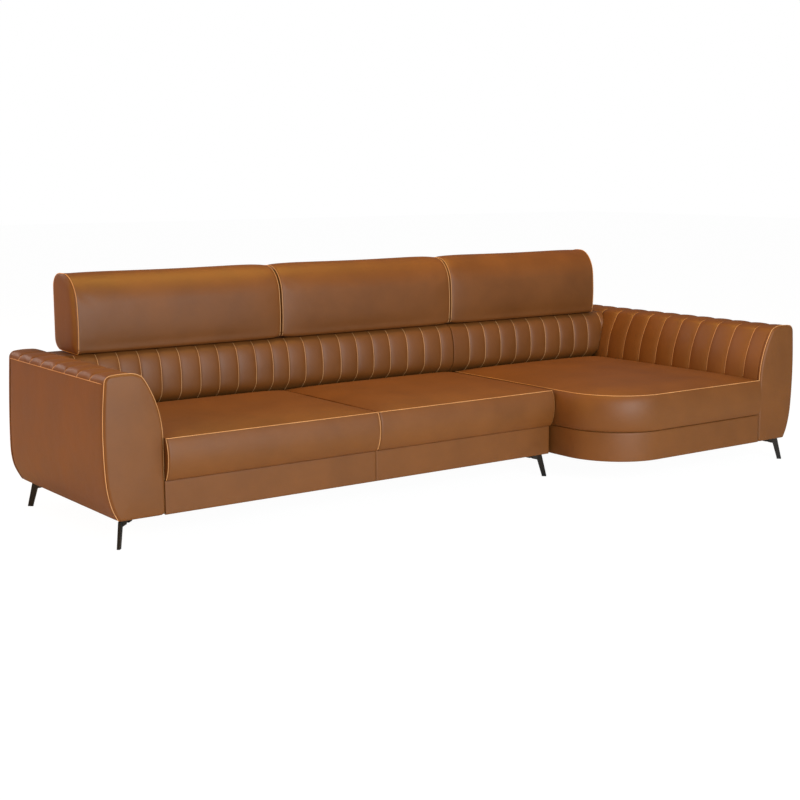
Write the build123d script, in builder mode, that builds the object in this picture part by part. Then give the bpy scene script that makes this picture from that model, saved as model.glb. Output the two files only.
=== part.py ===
from build123d import *
import os
from math import cos, radians, sin, sqrt

os.makedirs("parts", exist_ok=True)

# Driving sizes of the plan, in millimetres
arm_width = 243.0
seat_width = 992.0
chaise_width = 1010.0
body_depth = 950.0
back_depth = 222.0
chaise_reach = 395.0
chaise_corner = 290.0

# Driving heights
foot_height = 109.0
apron_height = 136.0
cushion_height = 165.0
cushion_crown = 17.0
arm_height = 558.0
back_height = 648.0
headrest_height = 328.0
headrest_depth = 208.0

# How far the row of headrests runs past the left seat's end and stops short of the right arm
headrest_overhang = 27.0
headrest_short = 9.0

# Arm outline: how far each stretch stands in from the widest point or down from the crest
arm_tuck = 60.0
arm_tuck_rear = 46.0
arm_belly = 300.0
arm_belly_rear = 140.0
arm_seam_inset = 12.0
arm_seam_drop = 33.0
arm_crest_place = 100.0
arm_shoulder_inset = 78.0
arm_shoulder_drop = 17.0
arm_rest_drop = 251.0

# Soft layers
apron_cover = 12.0
panel = 12.0
facing = 24.0
arm_skin = 14.0
arm_pad = 28.0
wrap = 18.0
felt = 6.0
top_pad = 8.0
side_gap = 2.0
slack = 0.2
channel_depth = 8.0
sofa_channel = 97.0
chaise_channel = 104.0
arm_channel = 117.0
right_arm_first_channel = 94.0

# Timber, steel and fixings
rail = 25.0
ply = 18.0
board = 12.0
post_width = 45.0
post_depth = 50.0
back_rail_height = 60.0
webbing = 2.0
seat_strap = 3.0
seat_strap_width = 70.0
back_strap_width = 60.0
cloth = 2.0
plate = 4.0
pin_radius = 4.0
running_fit = 0.05
bolt_radius = 3.0
bolt_head_radius = 5.5
bolt_head = 4.0
hole_slack = 0.1

# Headrest hinge: the axis is the centre of the rounded lower rear edge
hinge_round = 50.0
headrest_gap = 9.0
hinge_inset = 200.0
ratchet_radius = 20.0
ratchet_teeth = 30
tooth_depth = 2.0

# Splayed feet
foot_inset = 55.0
foot_setback = 22.0
rear_foot_setback = 65.0
foot_splay = 23.0
leg_width = 21.0
leg_thickness = 11.0
foot_plate_length = 108.0
foot_plate_width = 50.0
foot_plate = 5.0
foot_wedge = 30.0
foot_chamfer = 8.0
glide = 4.0
foot_screw_radius = 2.5
foot_screw_length = 27.0

# The shared frame: the origin is on the floor under the middle of the outer box
module_gap = 2.0
chaise_inset = 14.0
chaise_nose = 10.0
x_right = arm_width + seat_width + chaise_width / 2
x_left = -x_right
x_seats = (x_left + arm_width, x_left + arm_width + seat_width, x_left + arm_width + 2 * seat_width)
x_join = x_seats[2]
x_arm = x_right - arm_width
seat_edges = (*x_seats, x_arm)
y_rear = (body_depth + chaise_reach + chaise_nose) / 2
y_front = y_rear - body_depth
y_chaise = y_front - chaise_reach
z_base = foot_height
z_deck = z_base + apron_height
z_seam = z_deck + cushion_height
z_arm = z_base + arm_height
z_rail = z_base + cloth
z_rail_top = z_deck - seat_strap - felt
seat_depth = body_depth - back_depth
y_seat_back = y_front + seat_depth
y_panel = y_rear - panel
y_post = y_panel - rail
y_back_rail = y_post - post_depth - rail
y_webbing = y_back_rail - webbing
z_post_top = back_height - top_pad
y_headrest_rear = y_rear - headrest_gap / 2
y_headrest = y_headrest_rear - headrest_depth
z_headrest = back_height + headrest_gap
z_headrest_top = z_headrest + headrest_height
y_axis = y_headrest_rear - hinge_round
z_axis = z_headrest + hinge_round


def save(part, label):
    """Labels a finished piece and writes it."""
    part.label = label
    export_step(part, f"parts/{label}.step")


def block(x, y, z, mode=Mode.ADD):
    """A straight-sided board that spans the given low and high ends, in the part being built."""
    with Locations(((x[0] + x[1]) / 2, (y[0] + y[1]) / 2, (z[0] + z[1]) / 2)):
        Box(x[1] - x[0], y[1] - y[0], z[1] - z[0], mode=mode)


def bar(x, y, z, radius, mode=Mode.ADD):
    """A round bar along the length of the sofa from x[0] to x[1], in the part being built."""
    with Locations(Plane(origin=((x[0] + x[1]) / 2, y, z), z_dir=(1, 0, 0))):
        Cylinder(radius, abs(x[1] - x[0]), mode=mode)


def span(x, first, second):
    """Two distances from x as a low and high pair."""
    return min(x + first, x + second), max(x + first, x + second)


# Feet. Each leg stands under a corner and splays out along the corner's diagonal.
feet = {
    "front_left_foot": (x_left + foot_inset, y_front + foot_setback, -1, -1),
    "rear_left_foot": (x_left + foot_inset, y_rear - rear_foot_setback, -1, 1),
    "front_middle_foot": (x_join - foot_setback / 2, y_front + foot_setback, 1, -1),
    "rear_middle_foot": (x_join - foot_setback / 2, y_rear - rear_foot_setback, 1, 1),
    "front_right_foot": (x_right - foot_inset, y_chaise + foot_setback, 1, -1),
    "rear_right_foot": (x_right - foot_inset, y_rear - rear_foot_setback, 1, 1),
}
screw_reach = (foot_splay + foot_plate_length * 0.35, foot_splay + foot_plate_length * 0.8)
screw_spread = foot_plate_width / 2 - 4 * foot_screw_radius


def foot_screw_places(foot):
    """Floor places of one foot's four screws."""
    x, y, side_x, side_y = foot
    diagonal = sqrt(0.5)
    places = []
    for reach in screw_reach:
        for spread in (-screw_spread, screw_spread):
            dx = -side_x * diagonal * reach - side_y * diagonal * spread
            dy = -side_y * diagonal * reach + side_x * diagonal * spread
            places.append((x + dx, y + dy))
    return places


all_screws = [place for foot in feet.values() for place in foot_screw_places(foot)]


def screw_holes(z, mode=Mode.SUBTRACT, radius=foot_screw_radius + hole_slack):
    """Upright holes at every foot screw through the heights z, in the part being built."""
    with Locations(*[(x, y, (z[0] + z[1]) / 2) for x, y in all_screws]):
        Cylinder(radius, z[1] - z[0], mode=mode)


def splayed_foot(foot):
    """Bent steel foot: a splayed leg under a bracket that widens and thins towards its inner end."""
    x, y, side_x, side_y = foot
    outward = Vector(side_x, side_y, 0).normalized()
    upright = Plane(origin=(x, y, 0), x_dir=outward, z_dir=outward.cross(Vector(0, 0, 1)))
    flat = Plane(origin=(x, y, z_base - foot_wedge), x_dir=outward, z_dir=(0, 0, 1))
    half = leg_width / 2
    heel = half - foot_splay
    tip = -foot_splay - foot_plate_length
    with BuildPart() as made:
        with BuildSketch(upright):
            with BuildLine():
                Polyline(
                    (heel - 2 * foot_chamfer, z_base),
                    (tip, z_base),
                    (tip, z_base - foot_plate),
                    (heel - leg_width, z_base - foot_wedge),
                    (heel, z_base - foot_chamfer),
                    close=True,
                )
            make_face()
        extrude(amount=foot_plate_width / 2, both=True)
        with BuildSketch(flat):
            with BuildLine():
                Polyline(
                    (half, -leg_thickness / 2),
                    (heel - leg_width, -leg_thickness / 2),
                    (tip + foot_plate_width, -foot_plate_width / 2),
                    (tip, -foot_plate_width / 2),
                    (tip, foot_plate_width / 2),
                    (tip + foot_plate_width, foot_plate_width / 2),
                    (heel - leg_width, leg_thickness / 2),
                    (half, leg_thickness / 2),
                    close=True,
                )
            make_face()
        extrude(amount=foot_wedge, mode=Mode.INTERSECT)
        with BuildSketch(upright):
            with BuildLine():
                Polyline(
                    (half, glide),
                    (heel, z_base - foot_chamfer),
                    (heel - 2 * foot_chamfer, z_base),
                    (heel - leg_width, z_base - foot_wedge),
                    (-half, glide),
                    close=True,
                )
            make_face()
        extrude(amount=leg_thickness / 2, both=True)
        screw_holes((z_base - foot_plate, z_base))
        screw_holes((z_base - foot_wedge, z_base - foot_plate), radius=2 * foot_screw_radius + side_gap / 2)
    return made.part


for foot_name, foot_place in feet.items():
    save(splayed_foot(foot_place), foot_name)

with BuildPart() as foot_glides:
    for x, y, side_x, side_y in feet.values():
        with Locations(Plane(origin=(x, y, glide / 2), x_dir=(side_x, side_y, 0), z_dir=(0, 0, 1))):
            Box(leg_width, leg_thickness, glide)
save(foot_glides.part, "foot_glides")

with BuildPart() as foot_screws:
    with Locations(*[(x, y, z_base - foot_plate) for x, y in all_screws]):
        Cylinder(foot_screw_radius, foot_screw_length, align=(Align.CENTER, Align.CENTER, Align.MIN))
        Cylinder(
            2 * foot_screw_radius,
            foot_screw_radius,
            align=(Align.CENTER, Align.CENTER, Align.MAX),
        )
save(foot_screws.part, "foot_screws")

# Turned support legs stand far enough in to stay out of sight
support_radius = 22.0
support_places = (
    (x_seats[1], y_front + seat_depth * 0.62),
    (x_join + chaise_inset + apron_cover + ply + support_radius, y_front + seat_depth * 0.62),
    (x_join + chaise_inset + apron_cover + ply + support_radius, y_rear - rear_foot_setback),
)
with BuildPart() as support_feet:
    with Locations(*[(x, y, 0) for x, y in support_places]):
        Cone(
            support_radius * 0.8,
            support_radius,
            z_base,
            align=(Align.CENTER, Align.CENTER, Align.MIN),
        )
save(support_feet.part, "support_feet")


# Arms. The outline is drawn looking along the arm, with u measured inward from its widest point.
arm_fronts = {-1: y_front, 1: y_chaise}


def arm_x(side, u):
    """Place of a distance u in from the outer face of the left (-1) or right (1) arm."""
    return side * (x_right - u)


def arm_face(side, inset, z_low, y):
    """Arm outline at the place y along the arm, drawn in by inset and cut off at z_low."""
    along = (y - arm_fronts[side]) / (y_rear - arm_fronts[side])
    tuck = arm_tuck + (arm_tuck_rear - arm_tuck) * along + inset
    belly = arm_belly + (arm_belly_rear - arm_belly) * along
    foot = (arm_x(side, tuck), z_low)
    foot_way = (arm_x(side, tuck * 0.27 + inset * 0.73), z_base + belly * 0.46)
    widest = (arm_x(side, inset), z_base + belly)
    seam = (arm_x(side, arm_seam_inset + inset), z_arm - arm_seam_drop - inset * 0.3)
    flank_way = (arm_x(side, arm_seam_inset * 0.25 + inset), (widest[1] + seam[1]) / 2)
    crest = (arm_x(side, arm_crest_place), z_arm - inset)
    shoulder_u = arm_width - arm_shoulder_inset - inset * 0.6
    shoulder = (arm_x(side, shoulder_u), z_arm - arm_shoulder_drop - inset * 0.8)
    rest = (arm_x(side, arm_width - inset), z_arm - arm_rest_drop)
    seam_way = (arm_x(side, arm_seam_inset * 3.2 + inset * 0.7), z_arm - arm_seam_drop * 0.21 - inset * 0.7)
    crest_way_u = (arm_crest_place + shoulder_u) / 2
    crest_way = (arm_x(side, crest_way_u), z_arm - arm_shoulder_drop * 0.26 - inset * 0.95)
    rest_way_u = arm_width - arm_shoulder_inset * 0.31 - inset * 0.9
    rest_way = (arm_x(side, rest_way_u), z_arm - arm_rest_drop * 0.49 - inset * 0.4)
    with BuildSketch() as face:
        with BuildLine():
            ThreePointArc(foot, foot_way, widest)
            ThreePointArc(widest, flank_way, seam)
            ThreePointArc(seam, seam_way, crest)
            ThreePointArc(crest, crest_way, shoulder)
            ThreePointArc(shoulder, rest_way, rest)
            Polyline(rest, (rest[0], z_low), foot)
        make_face()
    return face.sketch


def arm_prism(side, inset, z_low, y):
    """The arm outline carried along the arm from y[0] to y[1]."""
    with BuildPart() as made:
        for place in y:
            with BuildSketch(Plane.XZ.offset(-place)):
                add(arm_face(side, inset, z_low, place))
        loft(ruled=True)
    return made.part


def arm_pad_face(side, dip):
    """Section of the channelled arm pad, from the outer seam over the crest to the seat deck."""
    crest = (arm_x(side, arm_crest_place), z_arm - dip)
    shoulder_u = arm_width - arm_shoulder_inset - dip * 0.6
    shoulder = (arm_x(side, shoulder_u), z_arm - arm_shoulder_drop - dip * 0.8)
    rest = (arm_x(side, arm_width - dip), z_arm - arm_rest_drop)
    seam = (arm_x(side, arm_seam_inset), z_arm - arm_seam_drop)
    seam_way = (arm_x(side, arm_seam_inset * 3.2 + dip * 0.7), z_arm - arm_seam_drop * 0.21 - dip * 0.7)
    crest_way_u = (arm_crest_place + arm_width - arm_shoulder_inset) / 2
    crest_way = (arm_x(side, crest_way_u), z_arm - arm_shoulder_drop * 0.26 - dip * 0.95)
    rest_way_u = arm_width - arm_shoulder_inset * 0.31 - dip * 0.9
    rest_way = (arm_x(side, rest_way_u), z_arm - arm_rest_drop * 0.49 - dip * 0.4)
    inner_u = arm_width - arm_pad
    with BuildSketch() as face:
        with BuildLine():
            ThreePointArc(seam, seam_way, crest)
            ThreePointArc(crest, crest_way, shoulder)
            ThreePointArc(shoulder, rest_way, rest)
            Polyline(
                rest,
                (arm_x(side, arm_width), z_deck),
                (arm_x(side, inner_u), z_deck),
                (arm_x(side, inner_u), z_arm - arm_rest_drop),
                (arm_x(side, rest_way_u - arm_pad + dip * 0.9), z_arm - arm_rest_drop * 0.55),
                (arm_x(side, arm_width - arm_shoulder_inset - arm_pad), z_arm - arm_shoulder_drop - arm_pad),
                (arm_x(side, arm_seam_inset + arm_skin), z_arm - arm_shoulder_drop - arm_pad),
                seam,
            )
        make_face()
    return face.sketch


def channel_stations(start, end, pitch, first):
    """Places and dips of the sections along a channelled pad: deep at a seam, full between seams."""
    seams = [start + first + pitch * count for count in range(int((end - start - first) / pitch + 0.75))]
    edges = [start, *seams, end]
    stations = [(start, 0.35)]
    for low, high in zip(edges, edges[1:]):
        width = high - low
        stations += [(low + width * 0.14, 0.3), (low + width / 2, 0.0), (high - width * 0.14, 0.3)]
        stations.append((high, 1.0 if high < end else 0.35))
    return stations


arm_names = {-1: "left", 1: "right"}
first_channels = {-1: arm_channel, 1: right_arm_first_channel}
arm_bolt_z = (z_rail + z_rail_top) / 2
arm_bolt_y = [y_front + seat_depth * part for part in (0.24, 0.6, 0.96)]


def arm_pieces(side):
    """The covers, pad and timber of one arm."""
    name = arm_names[side]
    y_panel_front = arm_fronts[side] + facing
    with BuildPart() as front_panel:
        with BuildSketch(Plane.XZ.offset(-y_panel_front)):
            add(arm_face(side, 0, z_base, y_panel_front))
        extrude(amount=facing)
        rim = front_panel.faces().sort_by(Axis.Y)[0].edges()
        fillet(rim, facing * 0.4)
    save(front_panel.part, f"{name}_arm_front_panel")

    save(arm_prism(side, 0, z_base, (y_panel, y_rear)), f"{name}_arm_rear_panel")

    with BuildPart() as outer_panel:
        add(arm_prism(side, 0, z_base, (y_panel_front, y_panel)))
        add(arm_prism(side, arm_skin, z_base - arm_skin, (y_panel_front, y_panel)), mode=Mode.SUBTRACT)
        keep = (arm_x(side, 0), arm_x(side, arm_seam_inset + arm_skin + arm_tuck))
        seam_z = z_arm - arm_shoulder_drop - arm_pad
        block((min(keep), max(keep)), (y_panel_front, y_panel), (z_base, seam_z), mode=Mode.INTERSECT)
    save(outer_panel.part, f"{name}_arm_outer_panel")

    with BuildPart() as channel_pad:
        for y, dip in channel_stations(y_panel_front, y_panel, arm_channel, first_channels[side]):
            with BuildSketch(Plane.XZ.offset(-y)):
                add(arm_pad_face(side, dip * channel_depth))
        loft(ruled=True)
    save(channel_pad.part, f"{name}_arm_channel_pad")

    # Ribs and boards inside, with the floor board that takes the foot screws
    with BuildPart() as timber:
        inner = arm_pad + board
        rib_low = z_rail + rail
        rib_room = y_panel - y_panel_front - ply
        for part in (0, 0.5, 1):
            y = y_panel_front + rib_room * part
            add(arm_prism(side, inner + 2 * side_gap, rib_low + slack, (y, y + ply)))
        pad_low = z_arm - arm_shoulder_drop - arm_pad
        whole = (min(arm_x(side, 0), arm_x(side, arm_width)), max(arm_x(side, 0), arm_x(side, arm_width)))
        block(whole, (y_panel_front, y_panel), (pad_low - slack, z_arm), Mode.SUBTRACT)
        inner_board = (arm_x(side, arm_width - arm_pad), arm_x(side, arm_width - inner))
        rest_z = z_arm - arm_rest_drop
        block((min(inner_board), max(inner_board)), (y_panel_front, y_panel), (rib_low + slack, rest_z))
        spacer = (arm_x(side, arm_width), arm_x(side, arm_width - arm_pad + slack))
        block((min(spacer), max(spacer)), (y_panel_front, y_panel), (rib_low + slack, z_rail_top))
        floor = (arm_x(side, arm_tuck + arm_skin), arm_x(side, arm_width))
        block((min(floor), max(floor)), (y_panel_front, y_panel), (z_rail, rib_low))
        screw_holes((z_rail, rib_low))
        for y in arm_bolt_y:
            room = span(arm_x(side, arm_width), -side * inner, side * 2 * inner)
            bar(room, y, arm_bolt_z, bolt_radius + hole_slack, Mode.SUBTRACT)
    save(timber.part, f"{name}_arm_frame")


for arm_side in (-1, 1):
    arm_pieces(arm_side)

with BuildPart() as arm_bolts:
    for side in (-1, 1):
        face = arm_x(side, arm_width)
        for y in arm_bolt_y:
            bar(span(face, -side * rail, side * (arm_pad + board)), y, arm_bolt_z, bolt_radius)
            bar(span(face, -side * rail, -side * (rail + bolt_head)), y, arm_bolt_z, bolt_head_radius)
save(arm_bolts.part, "arm_bolts")


# Base of the two-seat module
x_sofa = (x_seats[0], x_join - module_gap)
rail_z = (z_rail, z_rail_top)
y_rail = y_front + apron_cover
y_spring_rail = y_seat_back + side_gap

with BuildPart() as sofa_front_rail:
    block(x_sofa, (y_rail, y_rail + rail), rail_z)
save(sofa_front_rail.part, "sofa_front_rail")

cross_edges = (
    (x_sofa[0], x_sofa[0] + rail),
    (x_seats[1] - rail / 2, x_seats[1] + rail / 2),
    (x_sofa[1] - rail, x_sofa[1]),
)
with BuildPart() as sofa_cross_rails:
    for edges in cross_edges:
        block(edges, (y_rail + rail, y_panel - rail), rail_z)
    for y in arm_bolt_y:
        bar(span(x_sofa[0], -rail, 2 * rail), y, arm_bolt_z, bolt_radius + hole_slack, Mode.SUBTRACT)
save(sofa_cross_rails.part, "sofa_cross_rails")

with BuildPart() as sofa_spring_rails:
    for left, right in zip(cross_edges, cross_edges[1:]):
        block((left[1], right[0]), (y_spring_rail, y_spring_rail + rail), rail_z)
save(sofa_spring_rails.part, "sofa_spring_rails")

# Corner blocks under the join take the middle feet's screws
block_size = foot_plate_length + foot_splay
with BuildPart() as corner_blocks:
    corner_x = (cross_edges[2][0] - block_size, cross_edges[2][0])
    block(corner_x, (y_rail + rail, y_rail + rail + block_size), (z_rail, z_rail + 2 * rail))
    block(corner_x, (y_post - block_size, y_post - post_depth), (z_rail, z_rail + 2 * rail))
    screw_holes((z_rail, z_rail + 2 * rail))
save(corner_blocks.part, "corner_blocks")

with BuildPart() as sofa_apron:
    for left, right in ((x_sofa[0], x_seats[1]), (x_seats[1], x_sofa[1])):
        block((left + slack, right - slack), (y_front, y_rail), (z_base, z_deck - 2 * side_gap))
    upper = sofa_apron.faces().sort_by(Axis.Y)[0:2].edges().filter_by(Axis.X)
    fillet(upper, apron_cover / 2)
save(sofa_apron.part, "sofa_apron")


# Base of the chaise: the plan has one rounded corner at its free front edge
x_chaise = x_join + chaise_inset


def chaise_face(left, front, right, back, corner):
    """Plan of the chaise with its front left corner rounded."""
    bend = corner * (1 - sqrt(0.5))
    with BuildSketch() as face:
        with BuildLine():
            Line((left, back), (left, front + corner))
            ThreePointArc((left, front + corner), (left + bend, front + bend), (left + corner, front))
            Polyline((left + corner, front), (right, front), (right, back), (left, back))
        make_face()
    return face.sketch


def chaise_strip(inner, outer, z):
    """A strip along the chaise's free side and front, between two depths in from its face."""
    with BuildPart() as made:
        with BuildSketch(Plane.XY.offset(z[0])):
            add(chaise_face(x_chaise + inner, y_chaise + inner, x_arm, y_panel, chaise_corner - inner))
            hole = chaise_face(x_chaise + outer, y_chaise + outer, x_right, y_rear, chaise_corner - outer)
            add(hole, mode=Mode.SUBTRACT)
        extrude(amount=z[1] - z[0])
    return made.part


save(chaise_strip(0, apron_cover, (z_base, z_deck - 2 * side_gap)), "chaise_apron")
save(chaise_strip(apron_cover, apron_cover + ply, rail_z), "chaise_curved_rail")
x_chaise_in = x_chaise + apron_cover + ply

with BuildPart() as rear_rails:
    for ends in (x_sofa, (x_chaise_in, x_arm)):
        block(ends, (y_panel - rail, y_panel), rail_z)
save(rear_rails.part, "rear_rails")

y_chaise_rail = y_chaise + apron_cover + ply
with BuildPart() as chaise_cross_rails:
    block((x_arm - rail, x_arm), (y_chaise_rail, y_panel - rail), rail_z)
    for y in (y_spring_rail, y_front - rail):
        block((x_chaise_in, x_arm - rail - slack), (y, y + rail), rail_z)
    for y in arm_bolt_y:
        bar(span(x_arm, -2 * rail, rail), y, arm_bolt_z, bolt_radius + hole_slack, Mode.SUBTRACT)
save(chaise_cross_rails.part, "chaise_cross_rails")

# A plywood deck carries the cushion ahead of the springs
with BuildPart() as chaise_front_deck:
    deck_inset = apron_cover + side_gap
    with BuildSketch(Plane.XY.offset(z_rail_top)):
        add(
            chaise_face(
                x_chaise + deck_inset,
                y_chaise + deck_inset,
                x_arm - side_gap,
                y_front,
                chaise_corner - deck_inset,
            )
        )
    extrude(amount=z_deck - z_rail_top)
save(chaise_front_deck.part, "chaise_front_deck")

with BuildPart() as dust_covers:
    dust_left = x_left + arm_tuck + arm_skin + side_gap
    block((dust_left, x_sofa[1]), (y_front + facing + side_gap, y_panel - side_gap), (z_base, z_rail))
    dust_inset = apron_cover + side_gap
    with BuildSketch(Plane.XY.offset(z_base)):
        add(
            chaise_face(
                x_chaise + dust_inset,
                y_chaise + facing + side_gap,
                -dust_left,
                y_panel - side_gap,
                chaise_corner - dust_inset,
            )
        )
    extrude(amount=cloth)
    screw_holes((z_base, z_rail))
save(dust_covers.part, "dust_covers")


# Elastic webbing across the rails carries the felts under the cushions
seat_straps = 6
strap_z = (z_rail_top, z_rail_top + seat_strap)
with BuildPart() as seat_webbing:
    for left, right in zip(x_seats, x_seats[1:]):
        for count in range(seat_straps):
            x = left + (right - left) * (count + 0.5) / seat_straps
            strap_x = span(x, -seat_strap_width / 2, seat_strap_width / 2)
            block(strap_x, (y_rail, y_spring_rail + rail), strap_z)
    for count in range(seat_straps):
        y = y_front + seat_depth * (count + 0.5) / seat_straps
        strap_y = span(y, -seat_strap_width / 2, seat_strap_width / 2)
        block((x_chaise + apron_cover, x_arm), strap_y, strap_z)
save(seat_webbing.part, "seat_webbing")

felt_z = (z_rail_top + seat_strap, z_deck)
with BuildPart() as seat_felts:
    for left, right in zip(x_seats, x_seats[1:]):
        felt_x = (left + side_gap, right - side_gap - module_gap)
        block(felt_x, (y_rail, y_spring_rail), felt_z)
    block((x_chaise + apron_cover, x_arm - side_gap), (y_front, y_spring_rail), felt_z)
save(seat_felts.part, "seat_felts")

# Hooks on the two-seat module drop into straps on the chaise
connector_height = 80.0
connector_width = 60.0
connector_sheet = 3.0
tongue_gap = 0.5
connector_z = (z_rail + z_rail_top) / 2
with BuildPart() as module_connectors:
    for y in (y_front + body_depth * 0.2, y_front + body_depth * 0.7):
        half = connector_width / 2
        rise = connector_height / 2
        hook = x_sofa[1]
        tongue = hook + 2 * connector_sheet + tongue_gap
        low = connector_z - rise / 3
        bridge_z = (connector_z + rise - connector_sheet, connector_z + rise)
        block((hook, hook + connector_sheet), (y - half, y + half), (connector_z - rise, connector_z + rise))
        block((hook, tongue + connector_sheet), (y - half * 0.6, y + half * 0.6), bridge_z)
        block((tongue, tongue + connector_sheet), (y - half * 0.6, y + half * 0.6), (low, connector_z + rise))
        strap = hook + connector_sheet + tongue_gap / 2
        strap_ends = (connector_z - rise / 4, connector_z + rise / 4)
        block((x_chaise - connector_sheet, x_chaise), (y - half, y + half), (connector_z - rise, connector_z))
        block((strap, tongue - tongue_gap / 2), (y - half, y + half), strap_ends)
        for side in (-1, 1):
            web_y = span(y, side * half, side * (half - connector_sheet))
            block((strap, x_chaise), web_y, strap_ends)
save(module_connectors.part, "module_connectors")


# Seat cushions: a foam block in a wrapped cover with a rolled nose, drawn-in sides and a crown
nose = ((0.0, -18.0), (0.25, -32.0), (0.5, -36.0), (0.75, -20.0), (1.0, 18.0))
crown = ((0.0, 0.0), (0.55, 45.0), (1.0, 150.0))
side_draw = 5.0
cushion_rear = y_seat_back + board


def cushion_plan(x, front, inset):
    """Plan of a seat cushion at one height, its sides drawn in between the corners."""
    left, right = x[0] + inset, x[1] - inset
    low, high = front + inset, cushion_rear - inset
    middle = (low + high) / 2
    with BuildSketch() as face:
        with BuildLine():
            Line((left, low), (right, low))
            ThreePointArc((right, low), (right - side_draw, middle), (right, high))
            Line((right, high), (left, high))
            ThreePointArc((left, high), (left + side_draw, middle), (left, low))
        make_face()
    return face.sketch


foam_y = (y_front + wrap, cushion_rear - wrap)
foam_z = (z_deck, z_seam - wrap / 2)


def seat_cover(x, name):
    """Cover of one seat cushion between the two ends x, open below for its foam."""
    with BuildPart() as cover:
        for part, out in nose:
            with BuildSketch(Plane.XY.offset(z_deck + cushion_height * part)):
                add(cushion_plan(x, y_front + out, 0))
        loft()
        for part, inset in crown:
            with BuildSketch(Plane.XY.offset(z_seam + cushion_crown * part)):
                add(cushion_plan(x, y_front + nose[-1][1], inset))
        loft(ruled=True)
        block((x[0] + wrap, x[1] - wrap), foam_y, foam_z, mode=Mode.SUBTRACT)
    save(cover.part, f"{name}_cover")


cushion_ends = {
    "left_seat": (x_seats[0] + side_gap, x_seats[1] - side_gap),
    "middle_seat": (x_seats[1] + side_gap, x_seats[2] - side_gap),
}
for seat_name, seat_ends in cushion_ends.items():
    seat_cover(seat_ends, seat_name)

with BuildPart() as seat_foams:
    for ends in cushion_ends.values():
        block((ends[0] + wrap, ends[1] - wrap), foam_y, foam_z)
save(seat_foams.part, "seat_foams")

chaise_roll = ((0.0, 2.0), (0.25, -7.0), (0.5, -chaise_nose), (0.75, -6.0), (1.0, 10.0))
chaise_right = x_arm - side_gap


def chaise_plan(out, inset):
    """Plan of the chaise cushion at one height."""
    return chaise_face(
        x_chaise + out + inset,
        y_chaise + out + inset,
        chaise_right - inset,
        cushion_rear - inset,
        chaise_corner - inset,
    )


with BuildPart() as chaise_foam:
    with BuildSketch(Plane.XY.offset(z_deck)):
        add(chaise_plan(wrap, wrap))
    extrude(amount=foam_z[1] - foam_z[0])
save(chaise_foam.part, "chaise_foam")

with BuildPart() as chaise_cover:
    for part, out in chaise_roll:
        with BuildSketch(Plane.XY.offset(z_deck + cushion_height * part)):
            add(chaise_plan(out, 0))
    loft()
    for part, inset in crown:
        with BuildSketch(Plane.XY.offset(z_seam + cushion_crown * part)):
            add(chaise_plan(chaise_roll[-1][1], inset))
    loft(ruled=True)
    add(chaise_foam.part, mode=Mode.SUBTRACT)
save(chaise_cover.part, "chaise_cover")


# Back: posts at the hinges, rails across them, webbing, lumbar pad, top pad and rear panel
def hinge_places(left, right):
    """Hinge planes of one headrest, with the way from the post towards the headrest's middle."""
    return ((left + hinge_inset, 1), (right - hinge_inset, -1))


headrests = {"left": x_seats[0:2], "middle": x_seats[1:3], "right": (x_join, x_arm)}
headrest_ends = {
    "left": (x_seats[0] - headrest_overhang, x_seats[1] - side_gap),
    "middle": (x_seats[1] + side_gap, x_join - side_gap),
    "right": (x_join + side_gap, x_arm - headrest_short),
}
hinges = {name: hinge_places(*ends) for name, ends in headrests.items()}
module_hinges = {"sofa": hinges["left"] + hinges["middle"], "chaise": hinges["right"]}
wedge = arm_shoulder_inset * 1.6
module_x = {"sofa": (x_seats[0] - wedge, x_sofa[1]), "chaise": (x_join + module_gap, x_arm + wedge)}
base_x = {"sofa": x_sofa, "chaise": (x_chaise_in, x_arm)}
arm_cutters = {
    side: arm_prism(side, -side_gap, z_base - arm_skin, (y_front, y_rear + side_gap)) for side in (-1, 1)
}
arm_bolts_z = tuple(z_post_top - back_rail_height * part for part in (1.4, 2.7))
z_lumbar = z_seam + cushion_crown / 2
lumbar_belly = 13.0
lumbar_lean = 38.0


def lumbar_face(dip):
    """Section of the lumbar pad: a rolled front that leans back under the headrest."""
    height = back_height - z_lumbar
    low = (y_seat_back + dip * 0.6, z_lumbar)
    belly = (y_seat_back - lumbar_belly + dip, z_lumbar + height * 0.43)
    high = (y_seat_back + lumbar_lean + dip * 0.5, back_height - dip * 0.8)
    with BuildSketch() as face:
        with BuildLine():
            ThreePointArc(low, belly, high)
            Polyline(high, (y_webbing, back_height), (y_webbing, z_lumbar), low)
        make_face()
    return face.sketch


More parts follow.
